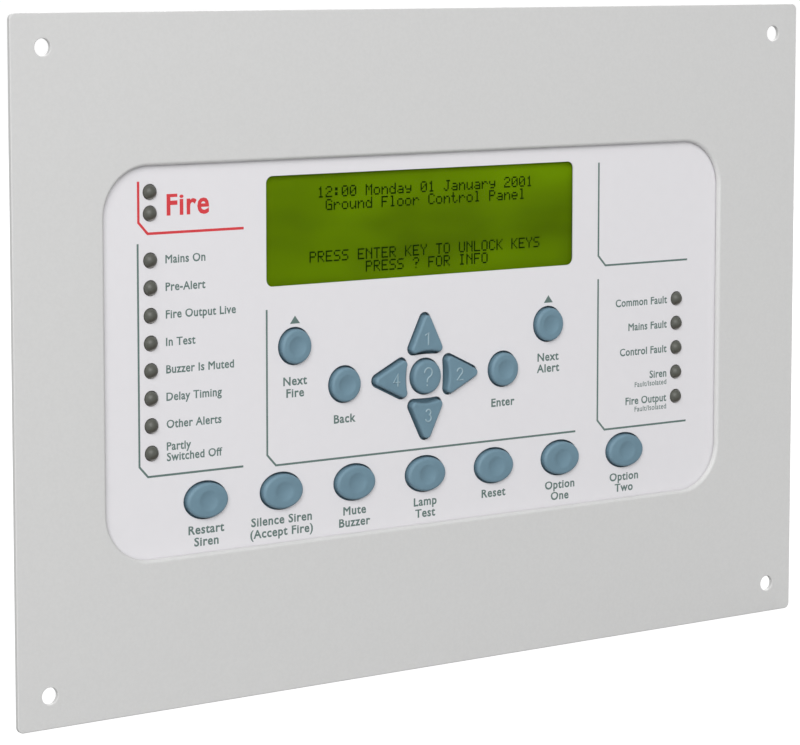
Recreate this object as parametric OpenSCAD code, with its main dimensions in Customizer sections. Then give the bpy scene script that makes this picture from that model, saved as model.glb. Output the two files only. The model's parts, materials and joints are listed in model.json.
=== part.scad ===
// Front plate unit of a fire alarm control panel: a flat steel plate with a cut-out,
// a printed fascia with lamps, rubber keys and a display, and the boards behind it.
// The front faces -Y and the origin is the centre of the four corner holes, on the
// back face of the plate. Lengths are millimetres.

/* [Plate] */
// Width of the front plate
plate_w = 320; // [312:1:340]
// Height of the front plate
plate_h = 223; // [214:1:240]
// Thickness of the front plate
plate_t = 1.5; // [1.5:0.1:2]
// Outer corner radius of the front plate
plate_r = 2; // [0.5:0.5:6]
// Distance between the corner holes, across
hole_pitch_x = 297.5; // [290:0.5:300]
// Distance between the corner holes, up
hole_pitch_z = 202; // [190:0.5:204]
// Diameter of the corner holes
hole_d = 5.5; // [4.5:0.1:6]

/* [Cut-out] */
// Width of the cut-out in the plate
cutout_w = 251.5; // [250:0.5:254]
// Height of the cut-out in the plate
cutout_h = 125.5; // [124:0.5:128]
// Corner radius of the cut-out
cutout_r = 16; // [10:0.5:20]
// Sideways offset of the cut-out from the plate's centre
cutout_x = -2; // [-3:0.1:0]
// Upward offset of the cut-out from the plate's centre
cutout_z = 0.5; // [0:0.1:1]
// Bevel on the front edge of the cut-out
cutout_bevel = 1.2; // [0.3:0.1:1.4]

/* [Fascia] */
// Gap between the plate's back and the fascia
fascia_gap = 0.6; // [0.4:0.1:0.8]
// Thickness of the printed overlay
overlay_t = 0.5; // [0.3:0.1:0.6]
// Thickness of the steel carrier behind the overlay
carrier_t = 1.5; // [1:0.1:1.6]

/* [Display] */
// Width of the display window
window_w = 126; // [120:0.5:127]
// Height of the display window
window_h = 36; // [34:0.5:37]
// Centre of the display window, across
window_x = -4; // [-5:0.1:-2]
// Centre of the display window, up
window_z = 40; // [39:0.1:41]

/* [Keys] */
// Centre line of the key field
key_mid_x = -3.9; // [-5:0.1:-3]
// Diameter of the round keys
key_d = 11.4; // [10:0.2:12.4]
// Width of the oval keys in the bottom row
oval_w = 15.2; // [14:0.2:16]
// Height of the oval keys in the bottom row
oval_h = 11.4; // [10:0.2:12.4]
// How far a key stands out of the fascia
key_rise = 1.8; // [1:0.1:1.8]
// How far a key travels when it is pressed
key_travel = 0.8; // [0.5:0.1:0.8]
// Centre distance of the keys in the bottom row
row_pitch = 28.8; // [28:0.1:29]
// Height of the bottom row of keys
row_z = -45.4; // [-46:0.1:-45]
// Height of the help key in the middle of the arrow keys
cluster_z = -12.2; // [-12.5:0.1:-12]

/* [Lamps] */
// Diameter of a lamp
lamp_d = 4.8; // [4.8:0.1:5.2]
// How far a lamp stands out of the fascia
lamp_rise = 1.9; // [1:0.1:1.9]
// Column of the fire and status lamps
lamp_left_x = -110.3; // [-111:0.1:-110]
// Column of the fault lamps
lamp_right_x = 106; // [105:0.1:106.2]
// Distance between two status lamps
lamp_pitch = 8.8; // [8.6:0.1:9]

/* [Boards] */
// Thickness of a circuit board
board_t = 1.6; // [1.2:0.1:1.6]
// Length of the standoffs between the two boards
standoff_l = 18; // [16:0.5:20]

/* [Hidden] */
$fn = 48;
eps = 0.01;

// Layers, front to back along +Y, from the plate's back at 0
fascia_y = fascia_gap;
carrier_y = fascia_y + overlay_t;
carrier_back = carrier_y + carrier_t;
board_y = fascia_y + 6.6;
board_back = board_y + board_t;
control_y = board_back + standoff_l;
control_back = control_y + board_t;

// Overlay and carrier sizes, from the cut-out that they close
overlay_w = cutout_w + 10.5;
overlay_h = cutout_h + 10.5;
carrier_w = cutout_w + 32.5;
carrier_h = cutout_h + 26.5;
stud_d = 3;
stud_l = 8;
stud_span_x = cutout_w / 2 + 11.5;
stud_span_z = cutout_h / 2 + 9.5;
stud_places = [
    for (sx = [-1, -1 / 3, 1 / 3, 1], sz = [-1, 1])
        [cutout_x + sx * stud_span_x, cutout_z + sz * stud_span_z],
    for (sx = [-1, 1]) [cutout_x + sx * stud_span_x, cutout_z]
];
earth_x = -120;
earth_z = -92;

// Clearances and key body sizes
key_gap = 0.6;
arrow_gap = 0.9;
key_front = fascia_y - key_rise;
lamp_gap = 0.15;
fit_gap = 0.1;
key_edge = 0.9;
edge_steps = 4;
key_dish_d = 6.6;
key_dish = 0.35;
flange_y = carrier_back + 0.3;
flange_t = 1.2;
flange_wide = 1.2;
flange_narrow = 0.8;
flange_arrow = 1.1;
stem_y = flange_y + flange_t;
stem_d = 9;
contact_t = 0.1;
stop_gap = 0.3;
pill_t = 0.8;
pill_end = board_y - contact_t - stop_gap - key_travel;
pill_y = pill_end - pill_t;
pill_d = 6;
mat_t = 1.2;
mat_w = 200;
mat_h = 66.5;
mat_z = -22.25;
mat_y = board_y - mat_t;

// Arrow keys, measured from the centre of the help key
arrow_near = 8.2;
arrow_tip = 20.9;
arrow_half_w = 6.25;
arrow_r = 1.5;
arrow_dip = 0.7;
arrow_mid = 12.5;

more_span = 52.2;
more_z = 1.9;
step_span = 32.7;
step_z = -12.25;
arrow_turns = [0, -90, 180, 90];
round_places = [
    [key_mid_x - more_span, more_z], [key_mid_x + more_span, more_z],
    [key_mid_x - step_span, step_z], [key_mid_x + step_span, step_z],
    [key_mid_x, cluster_z]
];
row_places = [for (k = [-3:3]) [key_mid_x + k * row_pitch, row_z]];
arrow_places = [for (a = arrow_turns) [key_mid_x - arrow_mid * sin(a), cluster_z + arrow_mid * cos(a)]];
key_places = concat(round_places, row_places, arrow_places);

// Lamps
lamp_flange_d = 5.8;
lamp_flange_t = 1;
fire_places = [for (z = [54.85, 48.05]) [lamp_left_x, z]];
status_places = [for (i = [0:7]) [lamp_left_x, 33.2 - i * lamp_pitch]];
fault_places = [for (i = [0:4]) [lamp_right_x, 7.15 - i * lamp_pitch]];
lamp_places = concat(fire_places, status_places, fault_places);

// Display module
bezel_w = 137;
bezel_h = 46;
bezel_y = carrier_y + 0.6;
bezel_lip = 0.5;
bezel_wall = 0.7;
bezel_view_w = window_w + 1.4;
bezel_view_h = window_h + 1.5;
pane_t = 0.5;
pane_w = window_w + 7;
pane_h = window_h + 7;
glass_y = bezel_y + bezel_lip;
glass_t = 2.1;
lcd_board_y = board_back + 1.4;
lcd_board_w = 172;
lcd_board_h = 60;
lcd_hole_places = [
    for (sx = [-1, 1], sz = [-1, 1]) [window_x + sx * 82, window_z + sz * 27]
];

// Display board and the pillars that hold it off the carrier
display_board_w = 250;
display_board_h = 134;
display_board_x = cutout_x - 0.3;
display_board_z = cutout_z + 1.5;
screw_d = 2.9;
screw_hole_d = 3.2;
screw_bore_d = 3;
head_d = 5.6;
head_t = 2.1;
pillar_af = 5.5;
top_places = [[-120, 63], [115, 63]];
standoff_places = [[-120, -57], [115, -57], [key_mid_x, -60.5], [-97, 19], [91, 19]];
pillar_places = concat(top_places, standoff_places);

// Control board
control_x0 = -124;
control_x1 = 119;
control_z0 = -64;
control_z1 = 26;
notch_x0 = 108.5;
notch_z = 19;

// Terminal blocks
way_pitch = 5.08;
ways = 8;
block_h = 11;
block_depth = 12;
block_z = -58;
block_xs = [-90, -44, 28, 76];
well_d = 3.8;
well_depth = 3.4;
well_y = control_back + block_depth - well_depth;
well_z = block_z + 1.5;
entry_w = 3.4;

// Ribbon cable between the boards
ribbon_w = 33;
ribbon_t = 0.9;
ribbon_x_a = 113.5;
ribbon_x_b = 103;
header_w = 9;
header_l = 38;
header_t = 9;
socket_w = 6.2;
socket_l = 34;
socket_y = 2.5;
socket_t = 9.5;
ribbon_top = control_back + socket_y + socket_t + 0.6;

// A rectangle with round corners, as outline points
function arc_points(x, z, r, a0, a1, n = 8) =
    [for (i = [0:n]) [x + r * cos(a0 + (a1 - a0) * i / n), z + r * sin(a0 + (a1 - a0) * i / n)]];
function box_points(w, h, r) = concat(
    arc_points(w / 2 - r, h / 2 - r, r, 0, 90),
    arc_points(r - w / 2, h / 2 - r, r, 90, 180),
    arc_points(r - w / 2, r - h / 2, r, 180, 270),
    arc_points(w / 2 - r, r - h / 2, r, 270, 360)
);
// An oval outline
function oval_points(w, h) = [for (a = [0:7.5:359]) [w / 2 * cos(a), h / 2 * sin(a)]];
// An arrow key's outline, pointing up, grown by g, with its near edge hollowed by dip
function arrow_points(g, dip) =
    let (
        r = arrow_r + g,
        bx = arrow_half_w - arrow_r,
        bz = arrow_near + arrow_r,
        tz = arrow_tip - arrow_r,
        side = atan2(bx, tz - bz)
    )
    concat(
        [for (i = [-4:4]) [bx * i / 5, bz - r + dip * (1 - pow(i / 5, 2))]],
        arc_points(bx, bz, r, -90, side, 6),
        arc_points(0, tz, r, side, 180 - side, 6),
        arc_points(-bx, bz, r, 180 - side, 270, 6)
    );

// Extrudes an outline drawn in X and Z to a slab from y0 to y0 + t
module slab(y0, t) {
    translate([0, y0 + t, 0])
        rotate([90, 0, 0])
            linear_extrude(t) children();
}

// A round bar along Y
module rod(place, y0, length, d) {
    translate([place[0], y0 + length, place[1]])
        rotate([90, 0, 0])
            cylinder(h = length, d = d);
}

// A six-sided bar along Y, across flats af
module hex_rod(place, y0, length, af) {
    translate([place[0], y0 + length, place[1]])
        rotate([90, 0, 0])
            cylinder(h = length, d = af / cos(30), $fn = 6);
}

// A box standing on a face at y0, centred on a place in X and Z
module block(place, y0, w, h, depth) {
    translate([place[0] - w / 2, y0, place[1] - h / 2])
        cube([w, depth, h]);
}

module cutout_outline(grow) {
    translate([cutout_x, cutout_z])
        polygon(box_points(cutout_w + 2 * grow, cutout_h + 2 * grow, cutout_r + grow));
}

module window_outline(w, h, r) {
    translate([window_x, window_z])
        polygon(box_points(w, h, r));
}

// Holes for the keys and the lamps, as one outline
module key_and_lamp_outline() {
    for (p = round_places) translate(p) circle(d = key_d + 2 * key_gap);
    for (p = row_places)
        translate(p) polygon(oval_points(oval_w + 2 * key_gap, oval_h + 2 * key_gap));
    for (a = arrow_turns)
        translate([key_mid_x, cluster_z]) rotate(a) polygon(arrow_points(arrow_gap, 0));
    for (p = lamp_places) translate(p) circle(d = lamp_d + 2 * lamp_gap);
}

// ---- Plate ----

module front_plate() {
    color("gainsboro")
        difference() {
            slab(-plate_t, plate_t) polygon(box_points(plate_w, plate_h, plate_r));
            slab(-plate_t - 1, plate_t + 2) cutout_outline(0);
            hull() {
                slab(-plate_t - eps, eps) cutout_outline(cutout_bevel);
                slab(-plate_t + cutout_bevel * 0.3, eps) cutout_outline(cutout_bevel * 0.3);
                slab(-plate_t + cutout_bevel, eps) cutout_outline(0);
            }
            for (sx = [-1, 1], sz = [-1, 1])
                rod([sx * hole_pitch_x / 2, sz * hole_pitch_z / 2], -plate_t - 1, plate_t + 2, hole_d);
        }
}

// Weld studs on the back of the plate, each with a collar that the carrier rests on
module plate_studs() {
    color("peru")
        for (p = stud_places) {
            rod(p, 0, stud_l, stud_d);
            rod(p, 0, carrier_y, stud_d + 1.5);
        }
}

// Flanged nut on a stud
module flange_nut(place, y0, d) {
    difference() {
        union() {
            rod(place, y0, 0.8, 2.5 * d);
            hex_rod(place, y0, 1.1 * d, 1.83 * d);
        }
        rod(place, y0 - 1, 2 * d + 2, d + fit_gap);
    }
}

module stud_nuts() {
    color("silver")
        for (p = stud_places) flange_nut(p, carrier_back, stud_d);
}

module earth_stud() {
    color("peru") {
        rod([earth_x, earth_z], 0, 14, 4);
        rod([earth_x, earth_z], 0, 0.8, 6);
    }
}

module earth_nuts() {
    color("goldenrod")
        for (y = [0.8, 6]) flange_nut([earth_x, earth_z], y, 4);
}

// ---- Fascia ----

module fascia_overlay() {
    color("whitesmoke")
        slab(fascia_y, overlay_t)
            difference() {
                translate([cutout_x, cutout_z]) polygon(box_points(overlay_w, overlay_h, 3));
                window_outline(window_w, window_h, 2.4);
                key_and_lamp_outline();
            }
}

module fascia_carrier() {
    color("lightgray")
        slab(carrier_y, carrier_t)
            difference() {
                translate([cutout_x, cutout_z]) polygon(box_points(carrier_w, carrier_h, 4));
                window_outline(bezel_w + 2, bezel_h + 2, 1);
                key_and_lamp_outline();
                for (p = stud_places) translate(p) circle(d = stud_d + 0.5);
            }
}

module display_window() {
    color("lightcyan")
        slab(carrier_y, pane_t) window_outline(pane_w, pane_h, 1.5);
}

// ---- Display module ----

module lcd_bezel() {
    inner_w = bezel_w - 2 * bezel_wall;
    inner_h = bezel_h - 2 * bezel_wall;
    color("dimgray")
        difference() {
            slab(bezel_y, lcd_board_y - bezel_y) window_outline(bezel_w, bezel_h, 1);
            slab(bezel_y - 1, 20) window_outline(bezel_view_w, bezel_view_h, 0.5);
            slab(glass_y, 20) window_outline(inner_w, inner_h, 0.5);
        }
}

module lcd_glass() {
    color("yellowgreen")
        block([window_x, window_z], glass_y, bezel_w - 2, bezel_h - 2, glass_t);
}

module lcd_backlight() {
    y0 = glass_y + glass_t;
    color("white")
        block([window_x, window_z], y0, bezel_w - 2, bezel_h - 2, lcd_board_y - y0);
}

module lcd_board() {
    color("darkgreen")
        difference() {
            slab(lcd_board_y, board_t) window_outline(lcd_board_w, lcd_board_h, 1);
            for (p = lcd_hole_places) rod(p, lcd_board_y - 1, board_t + 2, screw_hole_d);
        }
}

module lcd_driver_chips() {
    color("black")
        for (k = [-2:2])
            block([window_x + k * 26, window_z + 6], lcd_board_y + board_t, 16, 12, 1.4);
}

module lcd_spacers() {
    color("silver")
        for (p = lcd_hole_places)
            difference() {
                rod(p, board_back, lcd_board_y - board_back, 6);
                rod(p, board_back - 1, 4, screw_hole_d);
            }
}

// Pan head screw entering towards the front, its head seated at y0
module pan_screw(place, y0, shank) {
    difference() {
        rod(place, y0, head_t, head_d);
        translate([place[0] - head_d, y0 + head_t * 0.5, place[1] - 0.4])
            cube([2 * head_d, head_t, 0.8]);
    }
    rod(place, y0 - shank, shank, screw_d);
}

module lcd_screws() {
    color("silver")
        for (p = lcd_hole_places) {
            pan_screw(p, lcd_board_y + board_t, board_t + 3.4);
        }
}

// ---- Keys ----

// Skirt, stem and carbon pill behind a key's cap
module key_foot(place) {
    rod(place, stem_y - eps, pill_y - stem_y + eps, stem_d);
    rod(place, pill_y - eps, pill_t + eps, pill_d);
}

module key_dish_cut(place) {
    dish_r = (pow(key_dish_d / 2, 2) + pow(key_dish, 2)) / (2 * key_dish);
    translate([place[0], key_front + key_dish - dish_r, place[1]])
        sphere(r = dish_r, $fn = 96);
}

module round_key(place, flange) {
    r = key_d / 2;
    cap = concat(
        [for (i = [0:6]) [key_dish_d / 12 * i, -key_front - key_dish * (1 - pow(i / 6, 2))]],
        arc_points(r - key_edge, -key_front - key_edge, key_edge, 90, 0, 5),
        [
            [r, -flange_y], [r + flange, -flange_y], [r + flange, -stem_y],
            [stem_d / 2, -stem_y], [stem_d / 2, -pill_y], [pill_d / 2, -pill_y],
            [pill_d / 2, -pill_end], [0, -pill_end]
        ]
    );
    color("slategray")
        translate([place[0], 0, place[1]])
            rotate([90, 0, 0])
                rotate_extrude() polygon(cap);
}

// A cap with a rounded front edge, in thin layers whose outlines shrink by $inset
module cap_layers() {
    step = key_edge / edge_steps;
    for (i = [0:edge_steps - 1]) {
        left = key_edge - (i + 0.5) * step;
        $inset = key_edge - sqrt(pow(key_edge, 2) - pow(left, 2));
        slab(key_front + i * step, step) children();
    }
    $inset = 0;
    slab(key_front + key_edge, flange_y - key_front - key_edge) children();
}

module oval_key(place) {
    color("slategray") {
        difference() {
            cap_layers()
                translate(place) polygon(oval_points(oval_w - 2 * $inset, oval_h - 2 * $inset));
            key_dish_cut(place);
        }
        slab(flange_y, flange_t)
            translate(place) polygon(oval_points(oval_w + 2 * flange_wide, oval_h + 2 * flange_wide));
        key_foot(place);
    }
}

module arrow_key(turn) {
    place = [key_mid_x - arrow_mid * sin(turn), cluster_z + arrow_mid * cos(turn)];
    color("slategray") {
        cap_layers()
            translate([key_mid_x, cluster_z]) rotate(turn) polygon(arrow_points(-$inset, arrow_dip));
        slab(flange_y, flange_t)
            translate([key_mid_x, cluster_z]) rotate(turn) polygon(arrow_points(flange_arrow, 0));
        key_foot(place);
    }
}

module key_more_fires() round_key(round_places[0], flange_wide);
module key_more_events() round_key(round_places[1], flange_wide);
module key_exit() round_key(round_places[2], flange_wide);
module key_enter() round_key(round_places[3], flange_wide);
module key_help() round_key(round_places[4], flange_narrow);
module key_up() arrow_key(0);
module key_right() arrow_key(-90);
module key_down() arrow_key(180);
module key_left() arrow_key(90);
module key_resound() oval_key(row_places[0]);
module key_silence_alarm() oval_key(row_places[1]);
module key_silence_buzzer() oval_key(row_places[2]);
module key_lamp_test() oval_key(row_places[3]);
module key_reset() oval_key(row_places[4]);
module key_function_one() oval_key(row_places[5]);
module key_function_two() oval_key(row_places[6]);

// Rubber base sheet on the board, open around each key's stem
module keypad_mat() {
    color("slategray")
        slab(mat_y, mat_t)
            difference() {
                translate([key_mid_x, mat_z]) polygon(box_points(mat_w, mat_h, 3));
                for (p = key_places) translate(p) circle(d = stem_d + 1);
            }
}

module key_contacts() {
    color("gold")
        for (p = key_places) rod(p, board_y - contact_t, contact_t, pill_d + 1);
}

// ---- Lamps ----

// A domed lamp standing on the board
module lamp(place) {
    r = lamp_d / 2;
    top = lamp_rise - fascia_y;
    profile = concat(
        [[0, top]],
        arc_points(0, top - r, r, 80, 0, 8),
        [
            [r, lamp_flange_t - board_y], [lamp_flange_d / 2, lamp_flange_t - board_y],
            [lamp_flange_d / 2, -board_y], [0, -board_y]
        ]
    );
    translate([place[0], 0, place[1]])
        rotate([90, 0, 0])
            rotate_extrude() polygon(profile);
}

module fire_leds() color("dimgray") for (p = fire_places) lamp(p);
module status_leds() color("dimgray") for (p = status_places) lamp(p);
module fault_leds() color("dimgray") for (p = fault_places) lamp(p);

// ---- Display board ----

module display_board() {
    color("green")
        difference() {
            slab(board_y, board_t)
                translate([display_board_x, display_board_z])
                    polygon(box_points(display_board_w, display_board_h, 2));
            slab(board_y - 1, board_t + 2) window_outline(bezel_w + 2, bezel_h + 2, 1);
            for (p = concat(pillar_places, lcd_hole_places))
                rod(p, board_y - 1, board_t + 2, screw_hole_d);
        }
}

module board_pillars() {
    color("silver")
        for (p = pillar_places)
            difference() {
                hex_rod(p, carrier_back, board_y - carrier_back, pillar_af);
                rod(p, carrier_back + 0.6, board_y, screw_bore_d);
            }
}

module board_screws() {
    color("silver")
        for (p = top_places) pan_screw(p, board_back, 4.4);
}

// Hexagonal standoffs, each with a threaded tail that goes into a pillar
module hex_standoffs() {
    color("silver")
        for (p = standoff_places)
            difference() {
                union() {
                    hex_rod(p, board_back, standoff_l, pillar_af);
                    rod(p, board_back - 4.4, 4.4 + eps, screw_d);
                }
                rod(p, control_y - 8, 9, screw_bore_d);
            }
}

// ---- Control board ----

module control_board() {
    w = control_x1 - control_x0;
    h = control_z1 - control_z0;
    color("green")
        difference() {
            slab(control_y, board_t)
                translate([control_x0 + w / 2, control_z0 + h / 2]) polygon(box_points(w, h, 2));
            translate([notch_x0, control_y - 1, -notch_z])
                cube([w, board_t + 2, 2 * notch_z]);
            for (p = standoff_places) rod(p, control_y - 1, board_t + 2, screw_hole_d);
        }
}

module control_board_screws() {
    color("silver")
        for (p = standoff_places) pan_screw(p, control_back, 8);
}

// Centre of each terminal way
way_places = [
    for (bx = block_xs, i = [0:ways - 1]) [bx + (i - (ways - 1) / 2) * way_pitch, block_z]
];

module terminal_blocks() {
    color("darkseagreen")
        difference() {
            for (bx = block_xs)
                block([bx, block_z], control_back, ways * way_pitch - 0.1, block_h, block_depth);
            for (p = way_places) {
                rod([p[0], well_z], well_y, well_depth + 1, well_d);
                translate([p[0] - entry_w / 2, control_back + 2.5, block_z - block_h / 2 - 1])
                    cube([entry_w, entry_w, 7]);
            }
        }
}

module terminal_screws() {
    color("silver")
        for (p = way_places)
            difference() {
                rod([p[0], well_z], well_y, 2.2, well_d - 0.3);
                translate([p[0] - 2, well_y + 1.4, well_z - 0.4])
                    cube([4, 2, 0.8]);
            }
}

relay_places = [for (k = [0:3]) [-70 + k * 24, -41]];
module relays() {
    color("ivory")
        for (p = relay_places) block(p, control_back, 20, 11, 10.5);
}

fuse_places = [for (k = [0:2]) [-101, -43 + k * 11]];
fuse_d = 5;
fuse_l = 20;
module fuse_holders() {
    fuse_y = control_back + 5.5;
    color("darkslategray")
        for (p = fuse_places) {
            block(p, control_back, 24, 8, 1.5);
            for (s = [-1, 1])
                difference() {
                    block([p[0] + s * (fuse_l / 2 - 3), p[1]], control_back + 1.5 - eps, 4, 6.4, 6.5);
                    translate([p[0] - fuse_l, fuse_y, p[1]])
                        rotate([0, 90, 0])
                            cylinder(h = 2 * fuse_l, d = fuse_d + fit_gap);
                    block([p[0], p[1]], fuse_y, 2 * fuse_l, 4, 6);
                }
        }
}

module fuses() {
    color("lightblue")
        for (p = fuse_places)
            translate([p[0] - fuse_l / 2, control_back + 5.5, p[1]])
                rotate([0, 90, 0])
                    cylinder(h = fuse_l, d = fuse_d);
}

module processor() {
    color("black")
        block([-22, -8], control_back, 24, 24, 2.6);
}

dip_places = [[-64, -18], [-64, 2]];
soic_places = [for (x = [14, 34], z = [-20, -4, 12]) [x, z]];
module support_chips() {
    color("black") {
        for (p = dip_places) block(p, control_back, 36, 14, 4);
        for (p = soic_places) block(p, control_back, 12, 7, 2);
    }
}

module buzzer() {
    color("black")
        difference() {
            rod([64, -4], control_back, 10, 24);
            rod([64, -4], control_back + 8, 3, 3);
        }
}

capacitor_places = [[30, -42], [43, -42], [56, -42]];
module capacitors() {
    color("midnightblue")
        for (p = capacitor_places) rod(p, control_back, 13, 10);
}

module inductor() {
    color("orangered")
        translate([73, control_back + 4, -36])
            rotate([90, 0, 0])
                rotate_extrude() translate([6, 0]) circle(r = 4);
}

sink_place = [97, -38];
fin_pitch = 3.76;
module heat_sink() {
    color("dimgray") {
        block([sink_place[0], sink_place[1] - 5], control_back, 24, 2, 16);
        for (k = [-3:3])
            block([sink_place[0] + k * fin_pitch, sink_place[1] + 0.5], control_back, 1.4, 9 + eps, 16);
    }
}

module voltage_regulator() {
    color("black")
        block([sink_place[0], sink_place[1] - 8.3], control_back + 3, 10, 4.6, 10);
}

cell_place = [-110, 3];
cell_d = 20;
module cell_holder() {
    color("black")
        difference() {
            rod(cell_place, control_back, 5, cell_d + 4);
            rod(cell_place, control_back + 1.2, 6, cell_d + 0.6);
            block([cell_place[0], cell_place[1] - 10], control_back + 1.2, 9, 12, 6);
        }
}

module coin_cell() {
    color("silver")
        rod(cell_place, control_back + 1.2, 3.2, cell_d);
}

// ---- Ribbon cable ----

// Header on a board at x, standing on the face at y0
module header(x, y0) {
    difference() {
        block([x, 0], y0, header_w, header_l, header_t);
        block([x, 0], y0 + 1.5, header_w - 2.2, header_l - 2.2, header_t);
    }
}

module ribbon_headers() {
    color("black") {
        header(ribbon_x_a, board_back);
        header(ribbon_x_b, control_back);
    }
}

module ribbon_sockets() {
    color("dimgray") {
        block([ribbon_x_a, 0], board_back + socket_y, socket_w, socket_l, socket_t);
        block([ribbon_x_b, 0], control_back + socket_y, socket_w, socket_l, socket_t);
    }
}

// The cable rises through the board's notch and folds back over to the second socket
module ribbon_cable() {
    r_mid = (ribbon_x_a - ribbon_x_b) / 2;
    x_mid = (ribbon_x_a + ribbon_x_b) / 2;
    half = ribbon_t / 2;
    start_a = board_back + socket_y + socket_t;
    start_b = control_back + socket_y + socket_t;
    outline = concat(
        [[ribbon_x_a - half, start_a], [ribbon_x_a + half, start_a]],
        arc_points(x_mid, ribbon_top, r_mid + half, 0, 180, 16),
        [[ribbon_x_b - half, start_b], [ribbon_x_b + half, start_b]],
        arc_points(x_mid, ribbon_top, r_mid - half, 180, 0, 16)
    );
    color("lightgray")
        translate([0, 0, -ribbon_w / 2])
            linear_extrude(ribbon_w) polygon(outline);
}

front_plate();
plate_studs();
stud_nuts();
earth_stud();
earth_nuts();
fascia_overlay();
fascia_carrier();
display_window();
lcd_bezel();
lcd_glass();
lcd_backlight();
lcd_board();
lcd_driver_chips();
lcd_spacers();
lcd_screws();
key_more_fires();
key_more_events();
key_exit();
key_enter();
key_up();
key_right();
key_down();
key_left();
key_help();
key_resound();
key_silence_alarm();
key_silence_buzzer();
key_lamp_test();
key_reset();
key_function_one();
key_function_two();
keypad_mat();
key_contacts();
fire_leds();
status_leds();
fault_leds();
display_board();
board_pillars();
board_screws();
hex_standoffs();
control_board();
control_board_screws();
terminal_blocks();
terminal_screws();
relays();
fuse_holders();
fuses();
processor();
support_chips();
buzzer();
capacitors();
inductor();
heat_sink();
voltage_regulator();
cell_holder();
coin_cell();
ribbon_headers();
ribbon_sockets();
ribbon_cable();
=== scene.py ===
import json
from itertools import product
from math import atan2, cos, degrees, pi, radians, sin, tau

import bmesh
import bpy
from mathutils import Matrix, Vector
from mathutils.geometry import tessellate_polygon


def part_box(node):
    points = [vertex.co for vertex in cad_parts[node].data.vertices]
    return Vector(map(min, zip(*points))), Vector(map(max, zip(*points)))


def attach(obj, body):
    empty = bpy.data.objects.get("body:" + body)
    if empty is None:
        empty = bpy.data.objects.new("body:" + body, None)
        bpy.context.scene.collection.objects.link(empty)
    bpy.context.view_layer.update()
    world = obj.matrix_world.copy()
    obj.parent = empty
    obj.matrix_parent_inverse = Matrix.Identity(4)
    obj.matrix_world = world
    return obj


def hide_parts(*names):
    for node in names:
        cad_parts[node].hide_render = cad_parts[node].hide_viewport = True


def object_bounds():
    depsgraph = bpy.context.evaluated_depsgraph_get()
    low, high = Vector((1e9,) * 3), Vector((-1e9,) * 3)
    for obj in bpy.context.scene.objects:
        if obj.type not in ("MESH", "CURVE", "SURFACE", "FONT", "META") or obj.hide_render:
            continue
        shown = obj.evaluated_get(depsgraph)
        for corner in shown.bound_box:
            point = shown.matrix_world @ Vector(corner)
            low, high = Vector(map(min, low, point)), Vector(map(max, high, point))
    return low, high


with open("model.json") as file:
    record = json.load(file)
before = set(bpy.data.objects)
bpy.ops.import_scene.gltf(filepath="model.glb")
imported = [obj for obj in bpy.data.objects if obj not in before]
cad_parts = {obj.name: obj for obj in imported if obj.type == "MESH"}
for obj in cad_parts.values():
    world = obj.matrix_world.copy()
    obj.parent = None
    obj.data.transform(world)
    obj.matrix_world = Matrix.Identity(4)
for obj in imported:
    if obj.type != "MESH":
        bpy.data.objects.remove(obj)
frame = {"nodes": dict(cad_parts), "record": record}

cad_lo, cad_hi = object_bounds()

MM = 0.001
PANEL = "panel"
NODES = frame["nodes"]


# ---- places from the frame

def box_mm(node):
    """A node's lowest and highest corner in millimetres."""
    lo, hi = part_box(node)
    return [c / MM for c in lo], [c / MM for c in hi]


def centre_mm(node):
    """The centre of a node's box across and up, in millimetres."""
    lo, hi = box_mm(node)
    return (lo[0] + hi[0]) / 2, (lo[2] + hi[2]) / 2


def joint_body(node):
    """The body that a key node belongs to."""
    return next(body for body, nodes in frame["record"]["behaviour"]["bodies"].items() if node in nodes)


FASCIA_Y = box_mm("fascia_overlay")[0][1]
FASCIA_BACK = box_mm("fascia_overlay")[1][1]
KEY_FRONT = box_mm("key_help")[0][1]
HELP_CENTRE = centre_mm("key_help")
BOARD_Y = box_mm("display_board")[0][1]
CONTROL_BACK = box_mm("control_board")[1][1]

# Sizes of what is seen, in millimetres
OVERLAY_BORDER = 5.25
KEY_GAP = 0.6
ARROW_GAP = 0.9
KEY_SHIFT_X = -0.25
KEY_SHIFT_Z = 0.12
CUTOUT_R = 16
CUTOUT_ROUND = 1.2
PANE_BORDER = 3.5
WINDOW_R = 2.4
LAMP_R = 2.4
LAMP_BASE_R = 2.9


# ---- outlines
# Each outline is a function of how far it is grown, giving points in X and Z.

def arc(cx, cz, r, a0, a1, steps):
    """Points along an arc, in degrees."""
    angles = [radians(a0 + (a1 - a0) * i / steps) for i in range(steps + 1)]
    return [(cx + r * cos(a), cz + r * sin(a)) for a in angles]


def round_outline(cx, cz, r, steps=64):
    return lambda g: arc(cx, cz, r + g, 0, 360, steps)[:-1]


def oval_outline(cx, cz, w, h, steps=96):
    def points(g):
        turns = [tau * i / steps for i in range(steps)]
        return [(cx + (w / 2 + g) * cos(a), cz + (h / 2 + g) * sin(a)) for a in turns]
    return points


def rect_outline(cx, cz, w, h, r, steps=12):
    def points(g):
        half_w, half_h, rr = w / 2 + g, h / 2 + g, max(r + g, 0.01)
        out = []
        for k, (sx, sz) in enumerate([(1, 1), (-1, 1), (-1, -1), (1, -1)]):
            start = 90 * k
            out += arc(cx + sx * (half_w - rr), cz + sz * (half_h - rr), rr, start, start + 90, steps)
        return out
    return points


ARROW_NEAR = 8.2
ARROW_TIP = 20.9
ARROW_HALF = 6.25
ARROW_R = 1.5


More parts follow.
